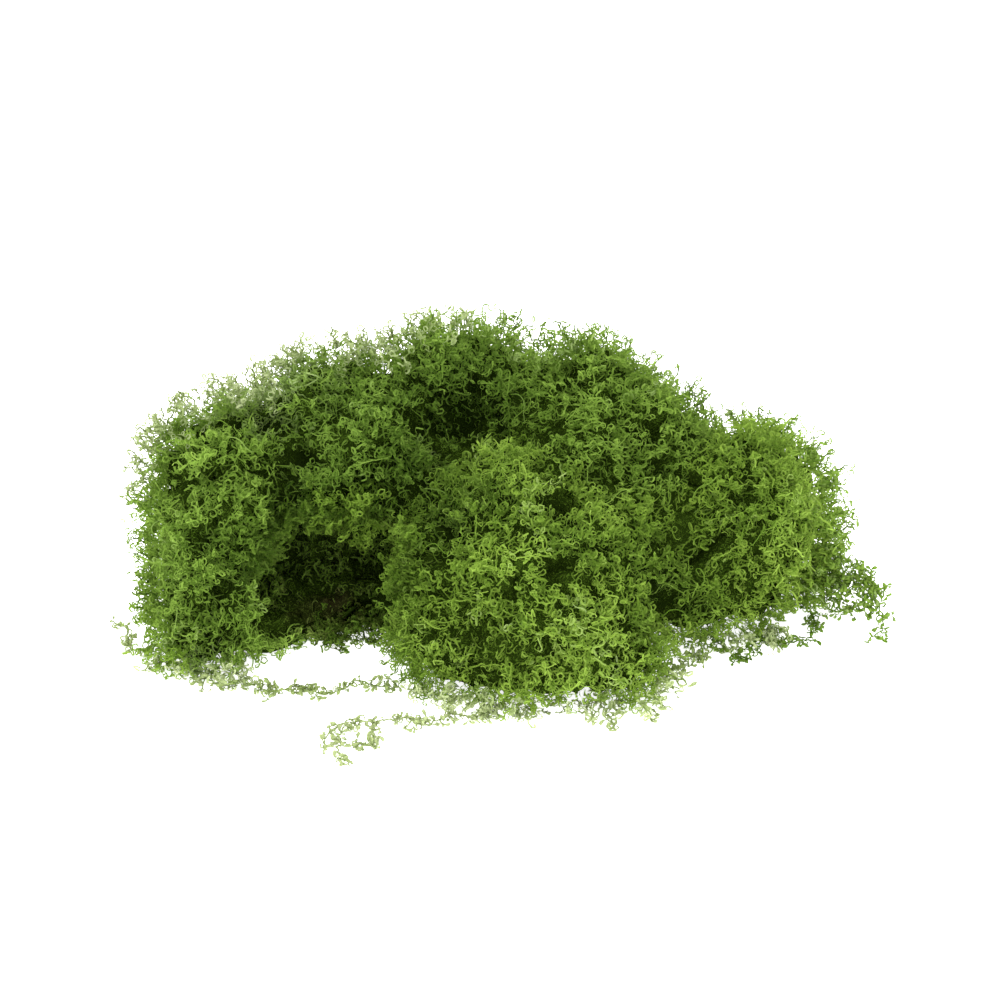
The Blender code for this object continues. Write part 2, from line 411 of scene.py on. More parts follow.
# Patches where the moss differs from the rest: middle and reach in mm, change of tone (painted light and
# shade), change of hue
PATCHES = (
    ((-16, -32, 18), 14, 0.22, 0.05),
    ((19, -34, 16), 16, 0.22, 0.05),
    ((8, -14, 44), 14, 0.09, 0.03),
    ((78, 6, 22), 22, 0.16, 0.05),
    ((-62, 26, 44), 20, 0.05, 0.32),
    ((-44, 24, 56), 14, 0.05, 0.10),
    ((-42, -6, 2), 13, 0.02, -0.26),
    ((-46, 8, 14), 16, 0.45, -0.06),
    ((28.5, -6, 40), 9, 0.24, 0.02),
    ((22, 8, 58), 9, 0.10, 0.0),
    ((27.6, 16, 61), 8, 0.16, 0.0),
    ((43.8, 8, 48), 8, 0.12, 0.0),
    ((79, 2, 38), 10, 0.32, 0.03),
    ((-71, -30, 4), 8, 0.16, 0.22),
    ((-8, -48, 3), 8, 0.10, 0.16),
    ((82, 4, 12), 10, 0.16, 0.03),
    ((-54, -19, 5), 9, 0.16, 0.0),
    ((6, -37, 39), 7, 0.12, 0.0),
    ((-23.5, 3.7, 58.6), 8, -0.04, 0.0),
    ((-15.8, -21.6, 38.6), 8, -0.16, 0.0),
    ((-22, -18, 26), 8, -0.24, 0.0),
    ((-22, -29, 18), 7, -0.18, 0.0),
    ((-60, -13, 26), 9, -0.20, 0.0),
    ((-57, -4, 36), 8, -0.18, 0.0),
    ((-44, -8, 33), 9, -0.18, 0.0),
    ((-31, -6, 41), 8, -0.12, 0.0),
    ((36, -30, 30), 8, -0.10, 0.0),
    ((20.4, -30.3, 39.3), 6, -0.12, 0.0),
    ((-34.7, 6.4, 58.7), 8, -0.04, 0.0),
    ((-7.5, 12, 51.8), 9, -0.12, 0.0),
    ((-18.4, -7.6, 45.8), 7, -0.12, 0.0),
    ((-24, 4, 28), 9, -0.10, 0.0),
    ((-50, -1, 46), 8, -0.12, 0.0),
    ((-38, -7, 48.8), 8, -0.06, 0.0),
    ((44, -18, 24), 9, -0.10, 0.0),
    ((14, -48, 8), 14, 0.26, 0.04),
    ((24, -46, 11.7), 12, 0.20, 0.03),
    ((22, -42, 20), 14, 0.16, 0.03),
    ((7, -35, 41), 8, 0.08, 0.02),
    ((45, -22, 2), 7, 0.05, -0.20),
    ((-78.5, -9.3, 44.5), 8, 0.26, 0.0),
    ((-63.5, -11.7, 45.7), 8, 0.22, 0.0),
    ((-57, -7, 44.5), 6, 0.34, 0.0),
    ((-71, -25, 27.5), 8, -0.14, 0.0),
    ((-63, -31, 18), 8, 0.12, 0.0),
    ((-50, -5, 37), 7, -0.20, 0.0),
    ((22, -8, 46), 8, 0.10, 0.0),
    ((37, -25, 26), 6, -0.12, 0.0),
    ((-49.4, -3.5, 44.3), 6, -0.08, 0.0),
    ((-41.7, -8.8, 44.3), 7, 0.08, 0.0),
    ((54.4, -12.3, 26.6), 10, 0.22, 0.0),
    ((59.7, -14.8, 13.7), 9, 0.16, 0.0),
    ((74.7, -9.8, 22.3), 12, 0.26, 0.03),
    ((47.2, -3.8, 36), 7, 0.12, 0.0),
    ((-63.2, -24.9, 28), 8, -0.14, 0.0),
    ((-55, 11.2, 20.8), 10, -0.22, 0.0),
    ((-51.6, 13.7, 13.6), 8, -0.20, 0.0),
    ((-19.4, -30.1, 22.5), 9, -0.26, 0.0),
    ((-27.8, -9, 3.1), 9, -0.28, 0.0),
    ((-17.3, -4.3, 39.1), 8, -0.26, 0.0),
    ((-12.1, -18.4, 41), 8, -0.24, 0.0),
    ((-4.8, -21.1, 47.9), 8, -0.24, 0.0),
    ((16.7, -32.1, 41.6), 6, -0.26, 0.0),
    ((32.7, -22.9, 35.2), 6, -0.10, 0.0),
    ((2.4, -34.1, 41.3), 7, 0.24, 0.0),
    ((-12.1, -26.9, 36), 7, 0.22, 0.0),
    ((9.5, -49.5, 9), 9, 0.10, 0.03),
    ((28.7, -42.4, 18.6), 9, 0.10, 0.02),
    ((39, -27.3, 20.9), 6, 0.06, 0.0),
)


def tint_of(places, share):
    """Tone, hue and relief at each place.

    Tone is painted light and shade: it rises with the share of the sky and with the relief, and falls by
    e^-(gap / 1.8)^2 near a hollow. A patch changes tone and hue by e^-(distance / reach)^2.
    """
    small, small_tone = bunches.relief(places)
    large, large_tone = lumps.relief(places)
    tone = SHADED_TONE + PAINTED_SKY_LIGHT * smooth_step(0.05, 0.7, share) + 0.04 * waves(places, 22 * MM, 77)
    tone += PAINTED_RELIEF_SHADE * (small + large) + small_tone + large_tone
    tone -= PAINTED_HOLLOW_SHADE * np.exp(-((hollow_gap(places) / 1.8) ** 2))
    hue = LIVING_HUE + 0.05 * waves(places, 15 * MM, 78)
    for middle, reach, painted_light_and_shade, paler in PATCHES:
        near = np.exp(-((places - np.array(middle) * MM) ** 2).sum(axis=1) / (reach * MM) ** 2)
        tone += near * painted_light_and_shade
        hue += near * paler
    return tone, hue, small + large


# Old strands show in the heart as thin bright lines, where either of two noises passes its middle
heart_finish = Finish("shaded_heart_of_old_strands")
place = heart_finish.node("ShaderNodeTexCoord", {}, {}, "Object")
tint = heart_finish.node("ShaderNodeAttribute", {"attribute_name": "tint"}, {}, "Vector")
tone, hue = heart_finish.tone_and_hue(tint)
tangle = heart_finish.noise(place, 620.0, 2.0, 0.55)
aside = heart_finish.node("ShaderNodeMapping", {}, {0: place, 1: (0.3, 0.1, 0.2)})
second_tangle = heart_finish.noise(aside, 760.0, 2.0, 0.55)
strands = 1 - (tangle - 0.5).size().between(0.0, 0.035)
strands = strands.most(1 - (second_tangle - 0.5).size().between(0.0, 0.03))
dead_patches = heart_finish.noise(place, 110.0)
light = tone * (0.36 + strands * 1.05)
living = heart_finish.ramp(
    light, (0.0, (0.003, 0.006, 0.001)), (0.35, (0.016, 0.030, 0.003)), (0.8, (0.085, 0.150, 0.016))
)
dead = heart_finish.ramp(
    light, (0.0, (0.003, 0.002, 0.001)), (0.35, (0.016, 0.010, 0.005)), (0.8, (0.070, 0.045, 0.025))
)
alive = (hue + dead_patches * 0.3).between(0.25, 0.5)
heart_finish.feed("Base Color", heart_finish.blend(alive, dead, living))
heart_finish.feed("Roughness", 0.8 + tangle * 0.2)
heart_finish.feed("Specular IOR Level", 0.0)
heart_finish.bump(strands + tangle * 0.5, 0.9, 0.5 * MM)


def make_piece(name, places, triangles, material, node_names, tints=None):
    """A smooth-shaded mesh from arrays, riding on the clump, in place of the named CAD nodes."""
    mesh = bpy.data.meshes.new(name)
    mesh.vertices.add(len(places))
    mesh.vertices.foreach_set("co", np.asarray(places, np.float32).ravel())
    corners = np.asarray(triangles, np.int32).ravel()
    mesh.loops.add(len(corners))
    mesh.loops.foreach_set("vertex_index", corners)
    mesh.polygons.add(len(triangles))
    mesh.polygons.foreach_set("loop_start", np.arange(0, len(corners), 3, dtype=np.int32))
    mesh.polygons.foreach_set("use_smooth", np.ones(len(triangles), bool))
    if tints is not None:
        layer = mesh.uv_layers.new(name="OFBake")
        layer.data.foreach_set("uv", np.asarray(tints, np.float32)[corners].ravel())
    mesh.update(calc_edges=True)
    mesh.validate()
    mesh.materials.append(material)
    piece = bpy.data.objects.new(name, mesh)
    bpy.context.scene.collection.objects.link(piece)
    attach(piece, "root")
    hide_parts(*node_names)
    return piece


# The heart's tone is painted light and shade, from the sky it sees, its relief, its hollows and the patches
share = openness(skin, skin_out)
tone, hue, relief = tint_of(skin, share)
crumb = (waves(skin, 6 * MM, 1) + 0.6 * waves(skin, 3 * MM, 2)) * HEART_CRUMB
depth = HEART_DEPTH * smooth_step(0.02, 0.15, share) - HEART_RELIEF * relief + crumb
depth += HOLLOW_DEPTH * np.exp(-((hollow_gap(skin) / 1.4) ** 2))
heart_places = skin - skin_out * depth[:, None]
heart_places[:, 2] = np.maximum(heart_places[:, 2], HEART_FOOT)
heart = make_piece(
    "shaded_heart", heart_places, skin_faces, heart_finish.material, list(CUSHIONS)
)
heart_tint = heart.data.attributes.new("tint", "FLOAT_VECTOR", "POINT")
heart_tint.data.foreach_set("vector", np.stack([tone, hue, 0 * tone], axis=1).astype(np.float32).ravel())


# Undergrowth
# Between the sprigs the clump is filled with fine curly threads, which wind through each other like hair.
# Each is a soft strand under half a millimetre wide. They root in the heart, and few reach as high as the
# sprigs' tips.

THREADS = 8400
THREAD_STEPS = 22
THREAD_STRIDE = 0.74 * MM
THREAD_WIDTH = 0.45 * MM
THREAD_TURN = math.radians(58)
THREAD_ROOT = (1.0 * MM, 4.2 * MM)
THREAD_OUTWARD = 0.6
THREAD_SPREAD = 0.9
THREAD_LEVEL = 3 * MM
# Painted shade and light along a thread: tone per metre above its level place, within limits
PAINTED_SHADE_PER_HEIGHT = 0.026 / MM
PAINTED_SHADE_LIMITS = (-0.11, 0.06)
HOLLOW_CLEARANCE = 1.05
FLOOR_REST = 0.35 * MM
# Hue changes a little from one edge of a strand to the other, and a painted highlight runs along a ribbon's
# fold
EDGE_HUE = 0.012
EDGE_HUES = np.array([-EDGE_HUE, EDGE_HUE])
FOLD_HUES = np.array([-EDGE_HUE, 0.0, EDGE_HUE])
PAINTED_FOLD_HIGHLIGHT = np.array([-0.01, 0.02, -0.01])


def turned(vectors, axes, angles):
    """Vectors turned about axes square to them: v cos a + (axis x v) sin a."""
    return vectors * np.cos(angles) + np.cross(axes, vectors) * np.sin(angles)


def rest_on_floor(places):
    """What would go through the floor lies on it, a little of its depth kept as height."""
    low = places[..., 2] < FLOOR_REST
    places[..., 2] = np.where(low, FLOOR_REST * 0.6 + np.abs(places[..., 2]) * 0.15, places[..., 2])
    return places


def curly_paths(
    start, heading, steps, stride, turn, dice, sway=0.0, rise=0.0, shrink=1.0, turn_back=0.0, rhythm=0.0
):
    """Paths that keep turning, and the side that a ribbon along each shows.

    Each step turns the heading about an axis square to it, and is shorter than the last by shrink. The axis
    sways at random, and a share of the strands turn back the other way. A ribbon stands at a slant to the
    curl, so that it shows from any side. With a rhythm, ringlets of about five steps take turns with three
    nearly straight steps.
    """
    count = len(start)
    beat = dice.uniform(0, 2 * math.pi, size=(count, 1))
    axis = unit(np.cross(heading, dice.normal(size=(count, 3))))
    hand = np.ones((count, 1))
    places = []
    sides = []
    for step in range(steps + 1):
        places.append(start)
        sides.append(unit(axis + np.cross(heading, axis) * 0.9))
        start = start + heading * stride * shrink**step + rise
        bend = turn * dice.uniform(0.8, 1.2, size=(count, 1))
        bend = bend * (1 - rhythm * (np.sin(beat + step * 0.75) < -0.3))
        heading = turned(heading, axis, hand * bend)
        axis = axis + dice.normal(size=(count, 3)) * sway
        axis = unit(axis - heading * (axis * heading).sum(axis=1, keepdims=True))
        hand = np.where(dice.random((count, 1)) < turn_back, -hand, hand)
    return np.stack(places, axis=1), np.stack(sides, axis=1)


def clear_of_hollows(paths, *others):
    """The strands that cross no hollow, with what else belongs to each. The rim of a hollow is ragged."""
    clear = hollow_gap(paths).min(axis=1) > HOLLOW_CLEARANCE + 0.25 * waves(paths[:, 0], 3 * MM, 55)
    return [part[clear] for part in (paths, *others)]


def ribbons(paths, sides, widths, tones, hues):
    """Flat ribbons along paths: each place has an edge on either side, half the width away."""
    paths, sides, widths, tones, hues = clear_of_hollows(paths, sides, widths, tones, hues)
    reach = sides * widths[..., None] / 2
    count, length, _ = paths.shape
    places = np.stack([paths - reach, paths + reach], axis=2).reshape(count, length * 2, 3)
    low = 2 * np.arange(length - 1)[:, None]
    faces = np.concatenate([low + (0, 1, 3), low + (0, 3, 2)])
    tints = np.stack(np.broadcast_arrays(tones[:, :, None], hues[:, :, None] + EDGE_HUES), axis=3)
    return rest_on_floor(places), faces, tints.reshape(count, length * 2, 2)


def folded_ribbons(paths, sides, widths, tones, hues):
    """Ribbons folded along their middle to a right angle, which show from every side. The fold stands half
    the width off the line between the edges, square to the path: along x side.
    """
    paths, sides, widths, tones, hues = clear_of_hollows(paths, sides, widths, tones, hues)
    reach = sides * widths[..., None] / 2
    raised = np.cross(unit(np.gradient(paths, axis=1)), reach)
    count, length, _ = paths.shape
    places = np.stack([paths - reach, paths + raised, paths + reach], axis=2).reshape(count, length * 3, 3)
    low = 3 * np.arange(length - 1)[:, None]
    faces = np.concatenate([low + (0, 1, 4), low + (0, 4, 3), low + (1, 2, 5), low + (1, 5, 4)])
    # The fold is painted lighter than the edges: a painted highlight
    tints = np.stack([tones[:, :, None] + PAINTED_FOLD_HIGHLIGHT, hues[:, :, None] + FOLD_HUES], axis=3)
    return rest_on_floor(places), faces, tints.reshape(count, length * 3, 2)


def gather(bundles):
    """Strands of several kinds as one mesh's arrays: places, triangles and tints."""
    places = []
    triangles = []
    tints = []
    total = 0
    for strand_places, faces, strand_tints in bundles:
        count, corners, _ = strand_places.shape
        places.append(strand_places.reshape(-1, 3))
        tints.append(strand_tints.reshape(-1, 2))
        triangles.append((faces[None] + (np.arange(count) * corners)[:, None, None]).reshape(-1, 3) + total)
        total += count * corners
    return np.concatenate(places), np.concatenate(triangles), np.clip(np.concatenate(tints), 0.01, 0.99)


def tones_with_painted_depth_shade(paths, level, outward, tone):
    """Tone along strands, as painted shade and light: the moss's tone at the level place of each, more above
    it and less below it.
    """
    height = ((paths - level[:, None]) * outward[:, None]).sum(axis=2)
    return tone[:, None] + np.clip(height * PAINTED_SHADE_PER_HEIGHT, *PAINTED_SHADE_LIMITS)


def rooted(roots, out, least_share, least_height, most=None):
    """The first roots, up to most, that see enough sky and stand high enough: with their normals, tones,
    hues and relief.
    """
    share = openness(roots, out)
    shown = np.flatnonzero((share > least_share) & (roots[:, 2] > least_height))[:most]
    return (roots[shown], out[shown], *tint_of(roots[shown], share[shown]))


def along_strand(values, steps):
    """One value for each strand, the same at every place along it."""
    return np.repeat(values[:, None], steps + 1, axis=1)


def strands_piece(name, bundles, finish, node_names):
    """One piece made of the strands in the bundles."""
    places, triangles, tints = gather(bundles)
    make_piece(name, places, triangles, FINISHES[finish], node_names, tints)


def cushion_of(places):
    """The cushion whose skin is nearest to each place."""
    names = list(cushion_trees)
    gaps = [[cushion_trees[name].find_nearest(Vector(place))[3] for name in names] for place in places]
    return np.array(names)[np.argmin(gaps, axis=1)]


DEAD = ((0.0, (0.006, 0.004, 0.002)), (0.5, (0.040, 0.024, 0.012)), (1.0, (0.16, 0.11, 0.06)))
BLEACHED_AND_GLARE = ((0.0, (0.07, 0.075, 0.03)), (0.5, (0.30, 0.35, 0.16)), (1.0, (0.70, 0.74, 0.50)))


def moss_finish(name, deep_shade, middle, tip, through):
    """A strand's colour: its tint's first number runs from deep shade through middle to tip, as painted
    shade and light, and its second from dead brown through living green to bleached, which is partly painted
    glare. A fine speckle along the strand stands for its cells.
    """
    finish = Finish(name)
    tint = finish.node("ShaderNodeUVMap", {"uv_map": "OFBake"}, {})
    tone, hue = finish.tone_and_hue(tint)
    cells = finish.noise(tint, 170.0, 2.0)
    tone = tone + (cells - 0.5) * 0.04
    # The darkest end of the ramp is painted deep shade too
    dark = tuple(value * 0.25 for value in deep_shade)
    living = finish.ramp(tone, (0.0, dark), (0.3, deep_shade), (0.62, middle), (1.0, tip))
    dead = finish.ramp(tone, *DEAD)
    bleached_and_glare = finish.ramp(tone, *BLEACHED_AND_GLARE)
    colour = finish.blend(hue.between(0.08, 0.32), dead, living)
    # The pale colour is partly dried moss and partly painted glare
    colour = finish.blend(hue.between(0.55, 0.95), colour, bleached_and_glare)
    finish.feed("Base Color", colour)
    finish.feed("Roughness", 0.62 + cells * 0.2)
    finish.feed("Specular IOR Level", 0.06)
    finish.let_light_through(through, 0.50)
    return finish.material


# Colours of a strand in painted deep shade, at its middle and at its tip, and of the light that comes
# through it
DEEP_SHADE_GREEN = (0.018, 0.034, 0.004)
GREEN_LIGHT = (0.33, 0.50, 0.09)
PALE_LIGHT = (0.62, 0.70, 0.38)
# The shaded, green and bright strands are darker and lighter copies of one green: painted shade and light
STRANDS = {
    "shaded_green_moss": ("painted_shade_strands", DEEP_SHADE_GREEN, (0.098, 0.164, 0.023), (0.23, 0.35, 0.062), GREEN_LIGHT),
    "green_moss": ("green_strands", DEEP_SHADE_GREEN, (0.108, 0.178, 0.024), (0.245, 0.37, 0.062), GREEN_LIGHT),
    "bright_green_moss": ("painted_light_strands", DEEP_SHADE_GREEN, (0.126, 0.202, 0.024), (0.258, 0.378, 0.056), GREEN_LIGHT),
    "pale_green_moss": ("pale_strands", DEEP_SHADE_GREEN, (0.150, 0.220, 0.060), (0.42, 0.53, 0.190), PALE_LIGHT),
}
FINISHES = {slot: moss_finish(*colours) for slot, colours in STRANDS.items()}

dice = np.random.default_rng(51)
roots, out, tone, hue, relief = rooted(*scattered(THREADS, dice), least_share=0.03, least_height=0.5 * MM)
count = len(roots)
heading = unit(out * THREAD_OUTWARD + dice.normal(size=(count, 3)) * THREAD_SPREAD)
start = roots - out * (dice.uniform(*THREAD_ROOT, size=count) - relief)[:, None]
rise = out * 0.01 * MM
paths, sides = curly_paths(
    start, heading, THREAD_STEPS, THREAD_STRIDE, THREAD_TURN, dice,
    sway=0.3, rise=rise, turn_back=0.12, rhythm=0.8,
)
widths = THREAD_WIDTH * dice.uniform(0.8, 1.2, size=(count, 1)) * np.linspace(1, 0.7, THREAD_STEPS + 1)
tones = tones_with_painted_depth_shade(paths, start + out * THREAD_LEVEL, out, tone + dice.normal(size=count) * 0.025)
hues = along_strand(hue + dice.normal(size=count) * 0.03, THREAD_STEPS)
cushion = cushion_of(roots)
for name, slot in CUSHIONS.items():
    own = cushion == name
    threads = ribbons(paths[own], sides[own], widths[own], tones[own], hues[own])
    strands_piece(name.replace("tuft", "undergrowth"), [threads], slot, [name])


# Living sprigs
# A sprig is a thin stem, which zigzags outwards, with a small leaf at each joint that curls round like a
# hook. Stem and leaf are creased along their middle. Sprigs grow out of the heart in bunches, five
# millimetres or so apart, with painted shade at their foot and painted light at their tips.

SPRIGS_IN_BUNCH = 6
SPRIG_ROOT = 3.5 * MM
SPRIG_SPREAD = 0.8
TO_THE_LIGHT = np.array([0, 0, 0.08])
SPRIG_SIZES = (0.8, 1.15)
STEM_STEPS = 4
STEM_STRIDE = 1.05 * MM
STEM_WIDTH = 0.36 * MM
STEM_LEAN = 0.85
PAINTED_STEM_SHADE = (-0.10, 0.02)
FIRST_LEAF = 2
LEAF_STEPS = 5
LEAF_STRIDE = 0.92 * MM
LEAF_WIDTH = 0.50 * MM
LEAF_TAPER = np.array([0.8, 1, 1, 1, 1, 0.75])
LEAF_TURN = math.radians(70)
LEAF_SPIRAL = 2.4


def wander(start, heading, steps, stride, lean, dice):
    """Paths of straight steps. Before each, the heading becomes heading + side x lean x 0.3 to 1.2, made one
    long again, for a random side.
    """
    places = [start]
    headings = [heading]
    for _ in range(steps):
        side = unit(np.cross(heading, dice.normal(size=heading.shape)))
        heading = unit(heading + side * lean * dice.uniform(0.3, 1.2, size=(len(heading), 1)))
        start = start + heading * stride
        places.append(start)
        headings.append(heading)
    return np.stack(places, axis=1), np.stack(headings, axis=1)


def thread(paths, radii, tones, hues):
    """Three-sided tubes along paths, with their ends drawn to a point.

    Each ring stands across the path, at side cos a + other sin a, and side is the last ring's, made square
    to the path.
    """
    count, length, _ = paths.shape
    along = unit(np.gradient(paths, axis=1))
    side = unit(np.cross(along[:, 0], [0.31, 0.52, 0.79]))
    rings = []
    for step in range(1, length - 1):
        side = unit(side - along[:, step] * (side * along[:, step]).sum(axis=1, keepdims=True))
        other = np.cross(along[:, step], side)
        for angle in (0, 2 * math.pi / 3, 4 * math.pi / 3):
            out = side * math.cos(angle) + other * math.sin(angle)
            rings.append(paths[:, step] + out * radii[:, step, None])
    places = np.stack([paths[:, 0], *rings, paths[:, -1]], axis=1)
    last = places.shape[1] - 1
    faces = []
    for corner in range(3):
        after = (corner + 1) % 3
        faces.append((0, 1 + after, 1 + corner))
        faces.append((last, last - 3 + corner, last - 3 + after))
        for ring in range(length - 3):
            low = 1 + 3 * ring
            high = low + 3
            faces.append((low + corner, low + after, high + after))
            faces.append((low + corner, high + after, high + corner))
    step_of = np.array([0, *np.repeat(np.arange(1, length - 1), 3), length - 1])
    edge = np.array([0, *FOLD_HUES.tolist() * (length - 2), 0])
    tints = np.stack([tones[:, step_of], hues[:, step_of] + edge], axis=2)
    return rest_on_floor(places), np.array(faces), tints


def leafy_stems(roots, headings, sizes, tones, hues, dice, steps=STEM_STEPS, lean=STEM_LEAN):
    """Sprigs: zigzag stems with a curled leaf at each joint from the first leafy one to the tip. The leaves
    stand round the stem in a spiral.
    """
    count = len(roots)
    paths, along = wander(roots, headings, steps, STEM_STRIDE * sizes[:, None], lean, dice)
    widths = STEM_WIDTH * sizes[:, None] * np.linspace(1.0, 0.7, steps + 1)
    # Painted shade at the stem's foot, painted light at its tip
    rise = np.linspace(*PAINTED_STEM_SHADE, steps + 1)
    side = unit(np.cross(headings, dice.normal(size=headings.shape)))
    sides = np.repeat(side[:, None], steps + 1, axis=1)
    bundles = [folded_ribbons(paths, sides, widths, tones[:, None] + rise, along_strand(hues, steps))]
    spin = dice.uniform(0, 2 * math.pi, size=(count, 1))
    for joint in range(FIRST_LEAF, steps + 1):
        forward = along[:, joint]
        side = unit(np.cross(forward, dice.normal(size=forward.shape)))
        other = np.cross(forward, side)
        angle = spin + joint * LEAF_SPIRAL
        out = side * np.cos(angle) + other * np.sin(angle)
        heading = unit(forward * 0.6 + out * (0.9 if joint < steps else 0.6))
        size = sizes * dice.uniform(0.7, 1.15, size=count)
        stride = LEAF_STRIDE * size[:, None]
        leaf, leaf_sides = curly_paths(
            paths[:, joint], heading, LEAF_STEPS, stride, LEAF_TURN, dice, sway=0.1, shrink=0.94
        )
        tone = tones + rise[joint] + dice.normal(size=count) * 0.02
        # Each leaf is painted a little lighter towards its tip
        leaf_tones = tone[:, None] + np.linspace(-0.01, 0.03, LEAF_STEPS + 1)
        leaf_hues = along_strand(hues + dice.normal(size=count) * 0.03, LEAF_STEPS)
        leaf_widths = LEAF_WIDTH * size[:, None] * LEAF_TAPER
        bundles.append(folded_ribbons(leaf, leaf_sides, leaf_widths, leaf_tones, leaf_hues))
    return bundles


dice = np.random.default_rng(53)
middles, normals, tone, hue, relief = rooted(
    bunches.middles, bunches.outward, least_share=0.02, least_height=0.5 * MM
)
hue += dice.normal(size=len(middles)) * 0.03
cushion = cushion_of(middles)
for name, slot in CUSHIONS.items():
    of_bunch = np.repeat(np.flatnonzero(cushion == name), SPRIGS_IN_BUNCH)
    count = len(of_bunch)
    tangent = dice.normal(size=(count, 3))
    out = normals[of_bunch]
    tangent = tangent - out * (tangent * out).sum(axis=1, keepdims=True)
    roots = middles[of_bunch] + tangent * MM + out * (relief[of_bunch] - SPRIG_ROOT)[:, None]
    headings = unit(out + tangent * SPRIG_SPREAD + TO_THE_LIGHT)
    sizes = dice.uniform(*SPRIG_SIZES, size=count)
    tones = tone[of_bunch] + dice.normal(size=count) * 0.02
    hues = hue[of_bunch] + dice.normal(size=count) * 0.02
    sprigs = leafy_stems(roots, headings, sizes, tones, hues, dice)
    strands_piece(name.replace("tuft", "sprigs"), sprigs, slot, [name])


# Runners
# Some stems grow on as long bare runners, round and wiry, which root just below the surface and arch over
# the sprigs.

RUNNERS = 70
RUNNER_STEPS = 14
RUNNER_STRIDE = 0.9 * MM
RUNNER_RADIUS = 0.17 * MM
RUNNER_TURN = math.radians(14)
RUNNER_ROOT = 1.5 * MM
RUNNER_LIFT = 0.10

dice = np.random.default_rng(61)
roots, out = scattered(RUNNERS * 2, dice)
roots, out, tone, hue, _ = rooted(roots, out, least_share=0.3, least_height=8 * MM, most=RUNNERS)
count = len(roots)
# Two leans are drawn for each runner, and it sets out on the first
leans = dice.normal(size=(2, count, 3))
heading = unit(out + leans[0] * 0.4)
start = roots - out * RUNNER_ROOT
fall = -out * 0.05 * MM
paths, _ = curly_paths(
    start, heading, RUNNER_STEPS, RUNNER_STRIDE, RUNNER_TURN, dice, sway=0.5, rise=fall, turn_back=0.2
)
radii = RUNNER_RADIUS * dice.uniform(0.8, 1.15, size=(count, 1)) * np.linspace(1.1, 0.7, RUNNER_STEPS + 1)
tones = along_strand(tone + RUNNER_LIFT, RUNNER_STEPS)
hues = along_strand(hue + RUNNER_LIFT, RUNNER_STEPS)
runners = thread(paths, radii, tones, hues)
strands_piece("runners", [runners], "green_moss", list(CUSHIONS))


# Spilling sprigs
# Where a cushion overhangs or ends at the floor, its sprigs have grown on and spill out of it. They are the
# same leafy stems, only longer, and hang down or lean the way that the cushion falls.

SPILL_ROOT = 2 * MM
SPILL_LEAN = 0.8
SPILL_SIZES = (0.8, 1.1)
# Middle and reach in mm, number, joints, lean, tone, hue; the tone is lower where strands hang in the cave's
# shade: painted shade
SPILLS = (
    ((83, 0, 10), 9, 70, 9, (0.9, -0.4, 0.1), 0.76, 0.48),
    ((-27, -17, 22), 10, 36, 8, (-0.9, -0.3, -0.1), 0.48, 0.45),
    ((-35, -4, 36), 9, 34, 12, (-0.05, -0.25, -1.0), 0.64, 0.46),
    ((-78, -29, 5), 11, 20, 5, (0.0, -0.9, 0.0), 0.74, 0.60),
    ((-84, -26, 4), 9, 26, 8, (-0.5, -0.6, 0.0), 0.68, 0.48),
    ((44, -14, 4), 10, 20, 6, (0.0, -0.7, 0.0), 0.60, 0.56),
    ((-24, -32, 4), 10, 28, 6, (-0.5, -0.5, 0.1), 0.50, 0.42),
    ((-89, -6, 14), 14, 44, 7, (-0.5, -0.1, -0.2), 0.64, 0.46),
    ((-34, -11, 3), 9, 44, 8, (0.0, -0.7, 0.1), 0.38, 0.18),
    ((-48, -10, 30), 12, 30, 6, (0.1, -0.5, -0.7), 0.40, 0.40),
)


def near_skin(middle, reach, number, dice, flatness=1):
    """Places on the skin within reach of a middle, picked at random, with their normals. The flatness says
    how many times shorter the reach is in height.
    """
    offset = (skin - np.array(middle) * MM) * (1, 1, flatness)
    chosen = dice.choice(np.flatnonzero(np.linalg.norm(offset, axis=1) < reach * MM), size=number)
    return skin[chosen], skin_out[chosen]


dice = np.random.default_rng(64)
bundles = []
for middle, reach, number, steps, lean, tone, hue in SPILLS:
    near, out = near_skin(middle, reach, number, dice)
    heading = unit(out * 0.6 + np.array(lean) + dice.normal(size=(number, 3)) * 0.4)
    tones = tone + dice.normal(size=number) * 0.05
    hues = hue + dice.normal(size=number) * 0.03
    sizes = dice.uniform(*SPILL_SIZES, size=number)
    bundles += leafy_stems(near - out * SPILL_ROOT, heading, sizes, tones, hues, dice, steps, SPILL_LEAN)
strands_piece("spilling_sprigs", bundles, "bright_green_moss", list(CUSHIONS))


# Fringes
# Along the skyline and the foot of the clump, thin lacy sprigs stand out on their own: a wire with knots,
# and small leaves curled into rings. They root just inside the skin, and are brown in the hollow and pale at
# the edges, partly dried out and partly painted glare of the bright studio around them.

WIRE_STRIDE = 0.72 * MM
WIRE_LEAN = 0.85
WIRE_WANDER = 0.22
WIRE_RADII = (0.23 * MM, 0.17 * MM)
WIRE_ROOT = 1.0 * MM
WIRE_SIZES = (0.8, 1.1)
CURL_STEPS = 5
CURL_STRIDE = 0.72 * MM
CURL_TURN = math.radians(66)
CURL_WIDTH = 0.44 * MM
CURL_RADIUS = 0.19 * MM
LOBE_STEPS = 6
LOBE_STRIDE = 0.42 * MM
LOBE_TURN = math.radians(18)
LOBE_RADII = np.array([0.15, 0.15, 0.22, 0.38, 0.50, 0.46, 0.25]) * MM


